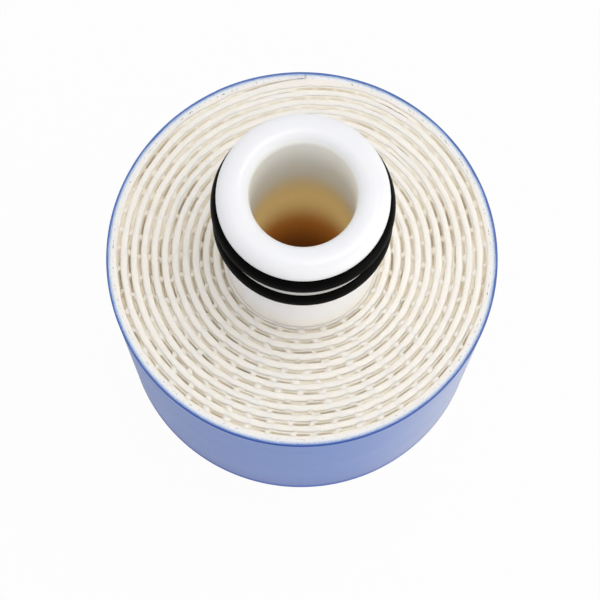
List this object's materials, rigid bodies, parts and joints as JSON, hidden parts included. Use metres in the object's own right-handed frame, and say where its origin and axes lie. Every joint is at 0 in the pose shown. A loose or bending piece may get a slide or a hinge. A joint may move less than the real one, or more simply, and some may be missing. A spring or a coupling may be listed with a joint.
{
  "type": "reverse osmosis membrane element",
  "caption": "Short wound reverse osmosis membrane element: a spiral roll in blue tape round a white tube, with a spigot that seals with rubber rings.",
  "frame": {"origin": "centre of the foot, on the flat closed end of the tube", "axes": "+Z along the tube towards the sealing spigot; -Y is the side that faces the viewer, and each turn of the roll climbs to the next one on the +Y side"},
  "size_m": [0.0445, 0.0444, 0.07],
  "materials": {
    "tube_plastic": "smooth moulded white plastic",
    "ring_rubber": "black greased rubber",
    "membrane_edge": "cut and glued edges of membrane sheet",
    "spacer_net": "extruded plastic net",
    "blue_tape": "smooth adhesive tape"
  },
  "bodies": {
    "root": {"permeate_tube": "tube_plastic", "outer_ring": "ring_rubber", "inner_ring": "ring_rubber", "membrane_leaf": "membrane_edge", "feed_spacer": "spacer_net", "tape_wrap": "blue_tape"}
  },
  "joints": []
}
